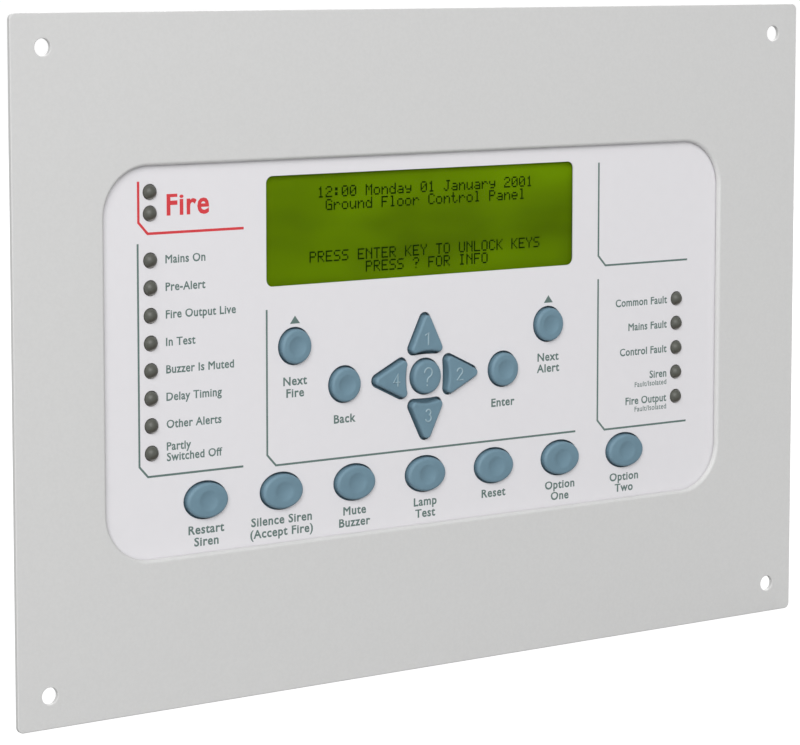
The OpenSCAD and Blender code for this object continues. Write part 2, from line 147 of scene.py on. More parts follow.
def arrow_outline(cx, cz, turn, dip, steps=8):
    """An arrow key, pointing up before the turn, its near edge hollowed by dip."""
    def points(g):
        r = ARROW_R + g
        bx, bz, tz = ARROW_HALF - ARROW_R, ARROW_NEAR + ARROW_R, ARROW_TIP - ARROW_R
        side = degrees(atan2(bx, tz - bz))
        near = [(bx * i / 6, bz - r + dip * (1 - (i / 6) ** 2)) for i in range(-5, 6)]
        flat = near + arc(bx, bz, r, -90, side, steps) + arc(0, tz, r, side, 180 - side, steps)
        flat += arc(-bx, bz, r, 180 - side, 270, steps)
        c, s = cos(turn), sin(turn)
        return [(cx + x * c - z * s, cz + x * s + z * c) for x, z in flat]
    return points


# ---- mesh building

class Shape:
    """Collects closed solids, in millimetres, for one piece."""

    def __init__(self):
        self.verts = []
        self.faces = []

    def loop(self, points):
        """Adds points in space and returns their numbers."""
        start = len(self.verts)
        self.verts += [tuple(p) for p in points]
        return list(range(start, len(self.verts)))

    def ring(self, points, y):
        """Adds a flat outline at one depth."""
        return self.loop([(x, y, z) for x, z in points])

    def skin(self, rings):
        """Joins rings of equal length with quads."""
        for a, b in zip(rings, rings[1:]):
            n = len(a)
            self.faces += [(a[i], a[(i + 1) % n], b[(i + 1) % n], b[i]) for i in range(n)]

    def cap(self, loops):
        """Fills the area inside the first loop and outside the others."""
        flat = [i for loop in loops for i in loop]
        lines = [[Vector(self.verts[i]) for i in loop] for loop in loops]
        self.faces += [tuple(flat[i] for i in tri) for tri in tessellate_polygon(lines)]

    def solid(self, rings):
        """Joins flat rings and fills both ends."""
        self.skin(rings)
        self.cap([rings[0]])
        self.cap([rings[-1]])

    def rod(self, rings):
        """Joins rings in space, with one face on each end."""
        self.skin(rings)
        self.faces += [tuple(rings[0]), tuple(rings[-1])]

    def sheet(self, outer, holes, y0, y1, outer_round, hole_rounds, steps=6):
        """A flat sheet between y0 and y1 whose front edges are rounded."""
        fronts, backs = [], []
        rounds = [(outer, outer_round, -1)] + [(h, e, 1) for h, e in zip(holes, hole_rounds)]
        for outline, edge, way in rounds:
            rings = []
            for t in quarter(steps):
                inset = way * edge * (1 - sin(t))
                rings.append(self.ring(outline(inset), y0 + edge * (1 - cos(t))))
            rings.append(self.ring(outline(0), y1))
            self.skin(rings)
            fronts.append(rings[0])
            backs.append(rings[-1])
        self.cap(fronts)
        self.cap(backs)

    def prism(self, outline, y0, y1, chamfer=0.0):
        """A solid from y0 to y1 with an optional bevel on both ends."""
        steps = [(0, y0), (0, y1)]
        if chamfer:
            steps = [(-chamfer, y0), (0, y0 + chamfer), (0, y1 - chamfer), (-chamfer, y1)]
        self.solid([self.ring(outline(g), y) for g, y in steps])

    def frame(self, outline, y0, y1, width):
        """A flat frame between y0 and y1 that follows an outline on its inside."""
        rings = [self.ring(outline(g), y) for g, y in ((0, y0), (0, y1), (-width, y1), (-width, y0))]
        self.skin(rings + rings[:1])

    def lathe(self, cx, cz, profile, steps=48):
        """Turns a list of (radius, y) about an axis along Y. The ends close at radius 0."""
        rings = []
        for r, y in profile:
            points = [(cx, cz)] if r == 0 else round_outline(cx, cz, r, steps)(0)
            rings.append(self.ring(points, y))
        for a, b in zip(rings, rings[1:]):
            for i in range(steps):
                j = (i + 1) % steps
                quad = (a[i % len(a)], a[j % len(a)], b[j % len(b)], b[i % len(b)])
                self.faces.append(tuple(dict.fromkeys(quad)))

    def block(self, lo, hi, bevel=0.0):
        """A box. With a bevel, each corner becomes three points, one on each face that meets there."""
        points = {}
        for corner in product((-1, 1), repeat=3):
            for axis in range(3) if bevel else (None,):
                place = [(lo[d], hi[d])[c > 0] - c * bevel * (d != axis) for d, c in enumerate(corner)]
                points[corner, axis] = self.loop([place])[0]
        for way in product((-1, 0, 1), repeat=3):
            near = [i for (corner, axis), i in points.items()
                    if all(w in (0, c) for w, c in zip(way, corner)) and (not bevel or way[axis])]
            if 3 <= len(near) <= 4:
                self.faces.append(self.in_turn(near, way))

    def in_turn(self, ring, way):
        """Puts a few points that surround a direction in order."""
        spokes = {i: Vector(self.verts[i]) for i in ring}
        middle = sum(spokes.values(), Vector()) / len(ring)
        first = spokes[ring[0]] - middle

        def angle(i):
            spoke = spokes[i] - middle
            return atan2(first.cross(spoke).dot(way), first.dot(spoke))

        return tuple(sorted(ring, key=angle))

    def piece(self, name, material, slot, replaces=(), body=PANEL, smooth=35.0, weighted=False):
        """Makes the Blender object, gives it its material and body, and hides the CAD nodes it replaces."""
        mesh = bpy.data.meshes.new(name)
        mesh.from_pydata([(x * MM, y * MM, z * MM) for x, y, z in self.verts], [], self.faces)
        mesh.validate()
        obj = new_object(name, mesh)
        face_outward(mesh)
        if smooth:
            mesh.shade_smooth()
            mesh.set_sharp_from_angle(angle=radians(smooth))
        else:
            mesh.shade_flat()
        if weighted:
            normals = obj.modifiers.new("even_normals", "WEIGHTED_NORMAL")
            normals.keep_sharp = True
            normals.weight = 100
        mesh.materials.append(material)
        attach(obj, body)
        if replaces:
            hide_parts(*replaces)
        return obj


def quarter(steps):
    """Even angles over a quarter turn."""
    return [pi / 2 * k / steps for k in range(steps + 1)]


def new_object(name, data, **settings):
    """An object in the scene. The settings are its data's."""
    for key, value in settings.items():
        setattr(data, key, value)
    obj = bpy.data.objects.new(name, data)
    bpy.context.scene.collection.objects.link(obj)
    return obj


def face_outward(mesh):
    """Turns every face of closed solids outward."""
    bm = bmesh.new()
    bm.from_mesh(mesh)
    bmesh.ops.recalc_face_normals(bm, faces=bm.faces)
    bm.to_mesh(mesh)
    bm.free()


# ---- materials

def feed(node, inputs):
    """Sets a node's inputs, each to a constant or to the output that feeds it."""
    for name, value in inputs.items():
        if isinstance(value, bpy.types.NodeSocket):
            node.id_data.links.new(value, node.inputs[name])
        else:
            node.inputs[name].default_value = value


def add_node(tree, kind, inputs):
    node = tree.nodes.new("ShaderNode" + kind)
    feed(node, inputs)
    return node


def new_material(name, colour, roughness, metallic=0.0):
    """A principled material whose constants sit on the shader's own sockets."""
    mat = bpy.data.materials.new(name)
    mat.use_nodes = True
    shader = mat.node_tree.nodes["Principled BSDF"]
    feed(shader, {"Base Color": (*colour, 1), "Roughness": roughness, "Metallic": metallic})
    return mat, mat.node_tree, shader


def object_place(tree):
    return add_node(tree, "TexCoord", {}).outputs["Object"]


def noise(tree, scale, detail=2.0, stretch=None):
    """A noise texture in object space, in features per metre."""
    place = object_place(tree)
    if stretch:
        place = add_node(tree, "Mapping", {"Scale": stretch, "Vector": place}).outputs["Vector"]
    return add_node(tree, "TexNoise", {"Scale": scale, "Detail": detail, "Vector": place}).outputs["Fac"]


def ramp(value, stops):
    """A colour ramp over a value."""
    node = add_node(value.id_data, "ValToRGB", {"Fac": value})
    elements = node.color_ramp.elements
    while len(elements) < len(stops):
        elements.new(0.5)
    for element, (at, colour) in zip(elements, stops):
        element.position = at
        element.color = (*colour, 1)
    return node.outputs["Color"]


def spread_over(value, low, high):
    """A value from 0 to 1, carried over to low to high."""
    inputs = {"Value": value, "To Min": low, "To Max": high}
    return add_node(value.id_data, "MapRange", inputs).outputs["Result"]


def mix_shaders(share, first, second):
    return add_node(share.id_data, "MixShader", {"Fac": share, 1: first, 2: second}).outputs["Shader"]


def vary_colour(shader, scale, spread, detail=3.0):
    """Slight mottling of the shader's own colour."""
    colour = shader.inputs["Base Color"].default_value[:3]
    shades = [(0.35, 1 - spread), (0.65, 1 + spread)]
    stops = [(at, tuple(min(c * share, 1) for c in colour)) for at, share in shades]
    feed(shader, {"Base Color": ramp(noise(shader.id_data, scale, detail), stops)})


def vary_roughness(shader, scale, low, high):
    feed(shader, {"Roughness": spread_over(noise(shader.id_data, scale), low, high)})


def bump(shader, height, strength, distance):
    node = add_node(shader.id_data, "Bump", {"Strength": strength, "Distance": distance, "Height": height})
    feed(shader, {"Normal": node.outputs["Normal"]})


def powder_coat():
    mat, tree, shader = new_material("powder_coat", (0.66, 0.66, 0.655), 0.5)
    vary_colour(shader, 900, 0.012)
    vary_roughness(shader, 400, 0.42, 0.55)
    bump(shader, noise(tree, 1400, 1.0), 0.35, 0.00006)
    return mat


def moulded(name, colour, roughness=0.5, grain=1500, depth=0.00003, spread=0.05, specular=0.5):
    """Moulded plastic or rubber with a fine surface grain."""
    mat, tree, shader = new_material(name, colour, roughness)
    feed(shader, {"Specular IOR Level": specular})
    vary_colour(shader, 220, spread)
    vary_roughness(shader, 350, roughness - 0.06, roughness + 0.06)
    bump(shader, noise(tree, grain, 1.0), 0.3, depth)
    return mat


def metal(name, colour, roughness=0.3, stretch=(1, 1, 6)):
    """Bare or plated metal with fine rubbing marks."""
    mat, tree, shader = new_material(name, colour, roughness, 1.0)
    vary_colour(shader, 300, 0.08)
    vary_roughness(shader, 900, roughness - 0.08, roughness + 0.1)
    bump(shader, noise(tree, 600, 2.0, stretch), 0.12, 0.00003)
    return mat


def board_mask():
    """Green solder mask, very slightly uneven."""
    mat, tree, shader = new_material("solder_mask", (0.022, 0.16, 0.065), 0.3)
    vary_colour(shader, 90, 0.07, 6.0)
    vary_roughness(shader, 200, 0.24, 0.38)
    weave = add_node(tree, "TexWave", {"Scale": 500, "Distortion": 0.6, "Vector": object_place(tree)})
    bump(shader, weave.outputs["Fac"], 0.1, 0.00003)
    return mat


def lcd_green():
    """Reflective display glass, yellow-green and cloudy, with painted light that makes it a little brighter
    toward its long edges.
    """
    mat, tree, shader = new_material("lcd_green", (0.1, 0.18, 0.0), 0.5)
    lo, hi = box_mm("lcd_glass")
    middle = centre_mm("lcd_glass")[1] * MM
    height = add_node(tree, "SeparateXYZ", {"Vector": object_place(tree)}).outputs["Z"]
    cloud_and_edge_light = noise(tree, 26, 2.0, (0.8, 1, 1.8))
    # Painted light: the colour is lifted toward the top edge, where it offsets the shade cast by the
    # window's rim, and less toward the bottom edge.
    for edge, most, curve in ((hi[2], 0.33, "SMOOTHSTEP"), (lo[2], 0.13, "LINEAR")):
        inputs = {"Value": height, "From Min": middle, "From Max": edge * MM, "To Max": most}
        painted_edge_light = add_node(tree, "MapRange", inputs)
        painted_edge_light.interpolation_type = curve
        cloud_and_edge_light = add_node(tree, "Math", {0: cloud_and_edge_light, 1: painted_edge_light.outputs["Result"]}).outputs["Value"]
    stops = [(0.33, (0.08, 0.132, 0.0)), (0.55, (0.112, 0.186, 0.0)), (0.9, (0.16, 0.27, 0.0))]
    feed(shader, {"Base Color": ramp(cloud_and_edge_light, stops), "Specular IOR Level": 0.03})
    vary_roughness(shader, 500, 0.45, 0.55)
    return mat


def clear_pane():
    """Clear plastic: light passes straight through, with a weak gloss on top."""
    mat, tree, shader = new_material("clear_pane", (1, 1, 1), 0.1)
    tree.nodes.remove(shader)
    through = add_node(tree, "BsdfTransparent", {"Color": (0.97, 0.99, 0.96, 1)})
    gloss = add_node(tree, "BsdfGlossy", {"Roughness": 0.12})
    smudge = spread_over(noise(tree, 60), 0.001, 0.004)
    mix = mix_shaders(smudge, through.outputs["BSDF"], gloss.outputs["BSDF"])
    feed(tree.nodes["Material Output"], {"Surface": mix})
    return mat


def lamp_epoxy():
    """Smoked clear epoxy, dark inside, with a painted pale fringe low in the dome that stands in for the
    light from above gathering there.
    """
    mat, tree, shader = new_material("lamp_epoxy", (0.1, 0.1, 0.085), 0.3)
    normal = add_node(tree, "TexCoord", {}).outputs["Normal"]
    # Painted light: how far each point faces down and to the right picks the colour, pale where the dome
    # would gather the light from above.
    low = add_node(tree, "VectorMath", {0: normal, 1: Vector((0.4, 0.0, -0.92)).normalized()})
    low.operation = "DOT_PRODUCT"
    stops = [(0.0, (0.085, 0.088, 0.074)), (0.25, (0.075, 0.072, 0.057)), (0.5, (0.062, 0.058, 0.044)),
             (0.68, (0.16, 0.15, 0.13)), (0.86, (0.6, 0.58, 0.54))]
    colour = ramp(low.outputs["Value"], stops)
    feed(shader, {"Base Color": colour, "Coat Weight": 0.12, "Coat Roughness": 0.35})
    vary_roughness(shader, 300, 0.45, 0.55)
    return mat


def seen_white(tree, dim, bright):
    """A shader that lights the scene as dim but is seen as bright."""
    return mix_shaders(add_node(tree, "LightPath", {}).outputs["Is Camera Ray"], dim, bright)


def floor_white():
    """A pale floor, bright as a lit studio sweep."""
    mat, tree, shader = new_material("floor_white", (0.38, 0.38, 0.38), 0.9)
    vary_colour(shader, 3, 0.004)
    sweep = add_node(tree, "Emission", {"Color": (1, 1, 1, 1), "Strength": 0.92})
    shade = add_node(tree, "BsdfDiffuse", {"Color": (0.24, 0.24, 0.24, 1)})
    pale = add_node(tree, "AddShader", {0: sweep.outputs["Emission"], 1: shade.outputs["BSDF"]})
    out = seen_white(tree, shader.outputs["BSDF"], pale.outputs["Shader"])
    feed(tree.nodes["Material Output"], {"Surface": out})
    return mat


PAINT = powder_coat()
FASCIA = moulded("fascia_film", (0.79, 0.778, 0.803), 0.55, 2500, 0.00001, 0.004)
INK_GREEN = moulded("ink_green", (0.125, 0.19, 0.175), 0.6, 3000, 0.000005, 0.03)
INK_RED = moulded("ink_red", (0.68, 0.045, 0.055), 0.6, 3000, 0.000005, 0.03)
KEY_RUBBER = moulded("key_rubber", (0.149, 0.255, 0.324), 0.62, 1800, 0.00002, 0.03)
KEY_MARK = moulded("key_mark", (0.29, 0.41, 0.465), 0.55, 1800, 0.00001, 0.03)
LAMP = lamp_epoxy()
LCD = lcd_green()
LCD_INK = moulded("lcd_ink", (0.005, 0.018, 0.0), 0.5, 3000, 0.000005, 0.1, 0.03)
PANE = clear_pane()


# ---- front plate

def corner_holes():
    """Centres and radius of the corner holes, from the record's mount."""
    dims = frame["record"]["mounts"][0]["dims"]
    half_x, half_z = dims["spacing_x_mm"] / 2, dims["spacing_y_mm"] / 2
    return [(sx * half_x, sz * half_z) for sx in (-1, 1) for sz in (-1, 1)], dims["hole_r_mm"]


def node_outline(node, border, r, steps=12):
    """A rounded outline a little inside a node's box."""
    lo, hi = box_mm(node)
    return rect_outline(*centre_mm(node), hi[0] - lo[0] - 2 * border, hi[2] - lo[2] - 2 * border, r, steps)


def make_plate():
    lo, hi = box_mm("front_plate")
    outer = node_outline("front_plate", 0, 2, 8)
    places, radius = corner_holes()
    holes = [node_outline("fascia_overlay", OVERLAY_BORDER, CUTOUT_R, 24)]
    holes += [round_outline(x, z, radius) for x, z in places]
    shape = Shape()
    shape.sheet(outer, holes, lo[1], hi[1], 0.35, [CUTOUT_ROUND] + [0.3] * 4, 8)
    shape.piece("front_plate_sheet", PAINT, "plate_paint", ["front_plate"], smooth=40, weighted=True)


# ---- fascia

TRIANGLE_KEYS = ["key_more_fires", "key_more_events"]
ROUND_KEYS = TRIANGLE_KEYS + ["key_exit", "key_enter", "key_help"]
OVAL_KEYS = ["key_resound", "key_silence_alarm", "key_silence_buzzer", "key_lamp_test",
             "key_reset", "key_function_one", "key_function_two"]
ARROW_KEYS = {"key_up": 0, "key_right": -pi / 2, "key_down": pi, "key_left": pi / 2}
KEYS = ROUND_KEYS + OVAL_KEYS + list(ARROW_KEYS)
KEY_D = 11.4
OVAL_W = 15.2
OVAL_H = 11.4


def key_outline(node, dip=0.7):
    x, z = centre_mm(node)
    if node in OVAL_KEYS:
        return oval_outline(x, z, OVAL_W, OVAL_H)
    if node in ARROW_KEYS:
        return arrow_outline(*HELP_CENTRE, ARROW_KEYS[node], dip)
    return round_outline(x, z, KEY_D / 2, 96)


def lamp_places(node, count):
    """Lamp centres in one column, from the node's box."""
    lo, hi = box_mm(node)
    r = (hi[0] - lo[0]) / 2
    top, bottom = hi[2] - r, lo[2] + r
    return [(lo[0] + r, top + (bottom - top) * i / (count - 1)) for i in range(count)]


FIRE_LAMPS = lamp_places("fire_leds", 2)
STATUS_LAMPS = lamp_places("status_leds", 8)
FAULT_LAMPS = lamp_places("fault_leds", 5)


def make_overlay():
    outer = node_outline("fascia_overlay", 0, 3)
    holes = [node_outline("display_window", PANE_BORDER, WINDOW_R)]
    for node in KEYS:
        outline = key_outline(node, 0.2)
        gap = ARROW_GAP if node in ARROW_KEYS else KEY_GAP
        holes.append(lambda g, o=outline, e=gap: [(x + KEY_SHIFT_X, z + KEY_SHIFT_Z) for x, z in o(g + e)])
    for x, z in FIRE_LAMPS + STATUS_LAMPS + FAULT_LAMPS:
        holes.append(round_outline(x, z, LAMP_R + 0.15, 40))
    shape = Shape()
    shape.sheet(outer, holes, FASCIA_Y, FASCIA_BACK, 0.1, [0.08] * len(holes), 2)
    shape.piece("fascia_film", FASCIA, "printed_fascia", ["fascia_overlay"], smooth=40, weighted=True)


# ---- prints on the fascia

PRINT_T = 0.03
PRINT_Y = FASCIA_Y - PRINT_T
PRINT_BACK = FASCIA_Y - 0.001
LINE_W = 0.68


def neighbours(path):
    """Each point of a path with the ones before and after it."""
    return zip(path[:1] + path, path, path[1:] + path[-1:])


def line_loop(path, width, mitred):
    """The outline of a line of even width along joined points, mitred at its bends or not."""
    left, right = [], []
    for before, p, after in neighbours([Vector(p) for p in path]):
        along, half = (after - before).normalized(), width / 2
        if mitred:
            into, away = (p - before).normalized(), (after - p).normalized()
            along = (into + away).normalized()
            half /= max(along.dot(into), along.dot(away), 0.3)
        side = Vector((-along.y, along.x)) * half
        left.append(p + side)
        right.append(p - side)
    return left + right[::-1]


def print_shape(shape, loop):
    """A thin print on the front of the fascia."""
    shape.prism(lambda g: loop, PRINT_Y, PRINT_BACK)


def bracket(shape, x0, z0, z1, cut, x1, width=LINE_W):
    """A bracket line: down from z0, round a cut corner and along at z1 to x1."""
    path = [(x0, z0), (x0, z1 + cut * 1.1), (x0 + cut, z1), (x1, z1)]
    print_shape(shape, line_loop(path, width, True))


def make_line_prints():
    green = Shape()
    bracket(green, -114.85, 38.6, -35.8, 3.1, -76.2)
    bracket(green, -67.0, 14.6, -36.7, 3.3, 60.5)
    bracket(green, 70.3, 57.1, 20.9, 3.2, 110.9)
    bracket(green, 70.3, 16.2, -37.3, 3.2, 110.9)
    for node in TRIANGLE_KEYS:
        x, z = centre_mm(node)
        print_shape(green, [(x - 1.95, z + 7.5), (x + 1.95, z + 7.5), (x, z + 10.1)])
    green.piece("print_lines", INK_GREEN, "printed_fascia", smooth=0)
    red = Shape()
    bracket(red, -114.5, 58.3, 41.7, 3.3, -75.6, 0.85)
    red.piece("print_fire_line", INK_RED, "printed_fascia", smooth=0)


CAP_RATIO = 0.682


def tall(y):
    """Raises the small letters of the typeface, whose capitals stay as they are."""
    low, high = 0.449, 0.5
    if y <= 0 or y >= CAP_RATIO:
        return y
    if y < low:
        return y * high / low
    return high + (y - low) * (CAP_RATIO - high) / (CAP_RATIO - low)


def text_mesh(words, cap_height, bold, wide, spread):
    """Points and faces of a line of lettering in the built-in typeface, in millimetres."""
    curve = bpy.data.curves.new("lettering", "FONT")
    obj = new_object("lettering", curve, body=words, size=1.0, space_character=spread, bevel_depth=bold,
                     bevel_resolution=0, extrude=0.5 - bold, resolution_u=3)
    bpy.context.view_layer.update()
    mesh = bpy.data.meshes.new_from_object(obj.evaluated_get(bpy.context.evaluated_depsgraph_get()))
    points = [v.co.copy() for v in mesh.vertices]
    faces = [tuple(p.vertices) for p in mesh.polygons]
    bpy.data.objects.remove(obj)
    bpy.data.curves.remove(curve)
    bpy.data.meshes.remove(mesh)
    size = cap_height / CAP_RATIO
    return [(p.x * size * wide, tall(p.y) * size, p.z) for p in points], faces


def letter(shape, words, x, z, cap, align="left", bold=0.02, wide=1.0, spread=1.06):
    """Adds a line of lettering: x is its left, middle or right, z its baseline."""
    points, faces = text_mesh(words, cap, bold, wide, spread)
    left, right = min(p[0] for p in points), max(p[0] for p in points)
    shift = {"left": x - left, "centre": x - (left + right) / 2, "right": x - right}[align]
    thickness = PRINT_BACK - PRINT_Y
    index = shape.loop([(px + shift, PRINT_Y + (0.5 - pz) * thickness, z + py) for px, py, pz in points])
    shape.faces += [tuple(index[i] for i in f) for f in faces]


LABEL_CAP = 2.5
SMALL_CAP = 1.75
KEY_LABEL_CAP = 2.65
STATUS_PITCH = 3.45
KEY_LABEL_PITCH = 3.95
LABEL_X = -104.8
FAULT_LABEL_X = 101.7
STATUS_WORDS = [["Mains On"], ["Pre-Alert"], ["Fire Output Live"], ["In Test"], ["Buzzer Is Muted"],
                ["Delay Timing"], ["Other Alerts"], ["Partly", "Switched Off"]]
FAULT_WORDS = [["Common Fault"], ["Mains Fault"], ["Control Fault"], ["Siren", "Fault/Isolated"],
               ["Fire Output", "Fault/Isolated"]]
KEY_WORDS = {
    "key_more_fires": ["Next", "Fire"], "key_more_events": ["Next", "Alert"],
    "key_exit": ["Back"], "key_enter": ["Enter"],
    "key_resound": ["Restart", "Siren"], "key_silence_alarm": ["Silence Siren", "(Accept Fire)"],
    "key_silence_buzzer": ["Mute", "Buzzer"], "key_lamp_test": ["Lamp", "Test"], "key_reset": ["Reset"],
    "key_function_one": ["Option", "One"], "key_function_two": ["Option", "Two"],
}


def make_labels():
    words = Shape()
    for (x, z), lines in zip(STATUS_LAMPS, STATUS_WORDS):
        first = z + (0.5 if len(lines) > 1 else 0.1 - LABEL_CAP / 2)
        for k, line in enumerate(lines):
            letter(words, line, LABEL_X, first - STATUS_PITCH * k, LABEL_CAP)
    for (x, z), lines in zip(FAULT_LAMPS, FAULT_WORDS):
        letter(words, lines[0], FAULT_LABEL_X, z - LABEL_CAP / 2 - 0.1, LABEL_CAP, "right")
        for line in lines[1:]:
            letter(words, line, FAULT_LABEL_X, z - 4.1, SMALL_CAP, "right", 0.008)
    for node, lines in KEY_WORDS.items():
        x, z = centre_mm(node)
        first = z - (12.7 if node in ROUND_KEYS else 10.7)
        for k, line in enumerate(lines):
            letter(words, line, x, first - KEY_LABEL_PITCH * k, KEY_LABEL_CAP, "centre", 0.024, 1.08, 1.09)
    words.piece("print_labels", INK_GREEN, "printed_fascia", smooth=0)
    fire = Shape()
    letter(fire, "Fire", -104.2, 47.3, 6.4, "left", 0.023, 1.03, 1.08)
    fire.piece("print_fire_label", INK_RED, "printed_fascia", smooth=0)


# ---- display

# Each letter of the display from its top row of dots to its lowest
GLYPH_ROWS = """
0 01110 10001 10011 10101 11001 10001 01110
1 00100 01100 00100 00100 00100 00100 01110
2 01110 10001 00001 00110 01000 10000 11111
: 00000 01100 01100 00000 01100 01100 00000
? 01110 10001 00001 00110 00100 00000 00100
C 01110 10001 10000 10000 10000 10001 01110
E 11111 10000 10000 11110 10000 10000 11111
F 11111 10000 10000 11110 10000 10000 10000
G 01110 10001 10000 10111 10001 10001 01111
I 01110 00100 00100 00100 00100 00100 01110
J 00111 00010 00010 00010 00010 10010 01100
K 10001 10010 10100 11000 10100 10010 10001
L 10000 10000 10000 10000 10000 10000 11111
M 10001 11011 10101 10101 10001 10001 10001
N 10001 11001 10101 10011 10001 10001 10001
O 01110 10001 10001 10001 10001 10001 01110
P 11110 10001 10001 11110 10000 10000 10000
R 11110 10001 10001 11110 10100 10010 10001
S 01111 10000 10000 01110 00001 00001 11110
T 11111 00100 00100 00100 00100 00100 00100
U 10001 10001 10001 10001 10001 10001 01110
Y 10001 10001 01010 00100 00100 00100 00100
a 00000 00000 01110 00001 01111 10001 01111
d 00001 00001 01101 10011 10001 10001 01111
e 00000 00000 01110 10001 11111 10000 01110
l 01100 00100 00100 00100 00100 00100 01110
n 00000 00000 10110 11001 10001 10001 10001
o 00000 00000 01110 10001 10001 10001 01110
r 00000 00000 10110 11001 10000 10000 10000
t 01000 01000 11100 01000 01000 01001 00110
u 00000 00000 10001 10001 10001 10011 01101
y 00000 00000 10001 10001 01111 00001 01110
"""
GLYPHS = {line[0]: line[2:].split() for line in GLYPH_ROWS.strip().splitlines()}
DOT_PITCH = 0.53
DOT = 0.52
LCD_TEXT_X = 2.4
LCD_TEXT_TOP = 13.66
LCD_LINES = {0: "12:00 Monday 01 January 2001", 1: "Ground Floor Control Panel",
             5: "PRESS ENTER KEY TO UNLOCK KEYS", 6: "PRESS ? FOR INFO"}


def make_display():
    lo, hi = box_mm("lcd_glass")
    glass = Shape()
    glass.block((lo[0], lo[1] + 0.02, lo[2]), hi, 0.3)
    glass.piece("lcd_face", LCD, "lcd_green", ["lcd_glass"], smooth=0)
    dots = Shape()
    front = lo[1]
    mid_x, mid_z = centre_mm("lcd_glass")
    mid_x += LCD_TEXT_X
    top_z = mid_z + LCD_TEXT_TOP
    for line, words in LCD_LINES.items():
        left = mid_x - len(words) * 3 * DOT_PITCH
        row_z = top_z - line * 8 * DOT_PITCH
        for column, char in enumerate(words):
            for r, bits in enumerate(GLYPHS.get(char, [])):
                z = row_z - r * DOT_PITCH
                for c, bit in enumerate(bits):
                    x = left + (column * 6 + c) * DOT_PITCH
                    if bit == "1":
                        dots.block((x, front, z - DOT), (x + DOT, front + 0.03, z))
    dots.piece("lcd_dots", LCD_INK, "lcd_green", smooth=0)


# ---- keys

KEY_EDGE = 0.95
ARROW_EDGE = 0.8
DISH_R = 3.4
DISH_DEPTH = 0.6


def rounded_wall(shape, outline, top, edge, steps):
    """Rings up the side of a key and over its rounded edge."""
    rings = [shape.ring(outline(0), FASCIA_BACK + 3)]
    for t in quarter(steps):
        rings.append(shape.ring(outline(-edge * (1 - cos(t))), top + edge * (1 - sin(t))))
    return rings


def key_cap(shape, outline, centre, dish):
    """A round or oval cap: side wall, rounded edge, flat land, soft-edged dish."""
    rings = rounded_wall(shape, outline, KEY_FRONT + 0.08, KEY_EDGE, 7)
    land = outline(-KEY_EDGE)
    circle = round_outline(*centre, DISH_R, len(land))(0)
    for share, drop in ((0.35, 0.05), (0.7, 0.02), (1.0, 0.0)):
        mixed = [(a[0] + (b[0] - a[0]) * share, a[1] + (b[1] - a[1]) * share) for a, b in zip(land, circle)]
        rings.append(shape.ring(mixed, KEY_FRONT + drop))
    for k in range(1, 9):
        r = DISH_R * (1 - k / 9)
        depth = dish * (1 - (r / DISH_R) ** 2)
        rings.append(shape.ring(round_outline(*centre, r, len(land))(0), KEY_FRONT + depth))
    shape.solid(rings)


def beyond_help(node, distance):
    """A place on the way from the help key to an arrow key."""
    turn = ARROW_KEYS[node]
    return HELP_CENTRE[0] - distance * sin(turn), HELP_CENTRE[1] + distance * cos(turn)


def key_foot(shape, node, outline):
    """The skirt, stem and pill behind the fascia."""
    lo, hi = box_mm(node)
    width, back = hi[0] - lo[0], hi[1]
    if node in ARROW_KEYS:
        grow, centre = 1.1, beyond_help(node, 12.5)
    else:
        grow, centre = (width - (OVAL_W if node in OVAL_KEYS else KEY_D)) / 2, centre_mm(node)
    shape.prism(lambda g: outline(g + grow), back - 3.1, back - 1.9, 0.15)
    shape.prism(round_outline(*centre, 4.5), back - 2.0, back - 0.8, 0.1)
    shape.prism(round_outline(*centre, 3.0), back - 0.9, back, 0.1)


def make_keys():
    for node in KEYS:
        shape = Shape()
        outline = key_outline(node)
        if node in ARROW_KEYS:
            shape.solid(rounded_wall(shape, outline, KEY_FRONT, ARROW_EDGE, 6))
        else:
            key_cap(shape, outline, centre_mm(node), 0.0 if node == "key_help" else DISH_DEPTH)
        key_foot(shape, node, outline)
        shape.piece(node + "_cap", KEY_RUBBER, "key_rubber", [node], joint_body(node), 50, True)
        if node in FIGURES:
            make_mark(node)


# The raised figures, as pen strokes: straight points, or (x, z, radius, from, to) for an arc
FIGURES = {
    "key_up": [[(-0.28, 0.28), (0, 0.5), (0, -0.5)]],
    "key_right": [[(0, 0.22, 0.27, 170, -35), (-0.29, -0.5), (0.31, -0.5)]],
    "key_down": [[(0, 0.26, 0.24, 155, -75), (0, -0.22, 0.28, 80, -155)]],
    "key_left": [[(0.14, -0.5), (0.14, 0.5), (-0.3, -0.2), (0.32, -0.2)]],
    "key_help": [[(0, 0.25, 0.25, 175, -45), (0.09, 0.01), (0, -0.05), (-0.06, -0.12), (-0.08, -0.25)],
                 [(-0.08, -0.44), (-0.08, -0.46)]],
}
HELP_FIGURE = 6.2
ARROW_FIGURE = 4.1
FIGURE_W = 0.3
FIGURE_RISE = 0.28


def pen_path(stroke, x, z, size):
    """The points along one pen stroke, in millimetres."""
    points = []
    for step in stroke:
        points += arc(*step, 10) if len(step) == 5 else [step]
    return [Vector((x + px * size, z + pz * size)) for px, pz in points]


def ridge(shape, path, y, half_w, rise):
    """A rounded ridge along a path, standing in front of y, with round ends."""
    spine = [(p, (after - before).normalized(), 1.0) for before, p, after in neighbours(path)]
    start, end = spine[0], spine[-1]
    caps = [radians(a) for a in (15, 40, 65, 85)]
    lead = [(start[0] - start[1] * half_w * sin(a), start[1], cos(a)) for a in caps[::-1]]
    tail = [(end[0] + end[1] * half_w * sin(a), end[1], cos(a)) for a in caps]
    rings = []
    for point, along, share in lead + spine + tail:
        side = Vector((-along.y, along.x)) * half_w * share
        arch = []
        for a in [pi * k / 6 for k in range(7)]:
            at = point + side * cos(a)
            arch.append((at.x, y + 0.05 - (rise + 0.05) * share * sin(a), at.y))
        rings.append(shape.loop(arch))
    shape.rod(rings)


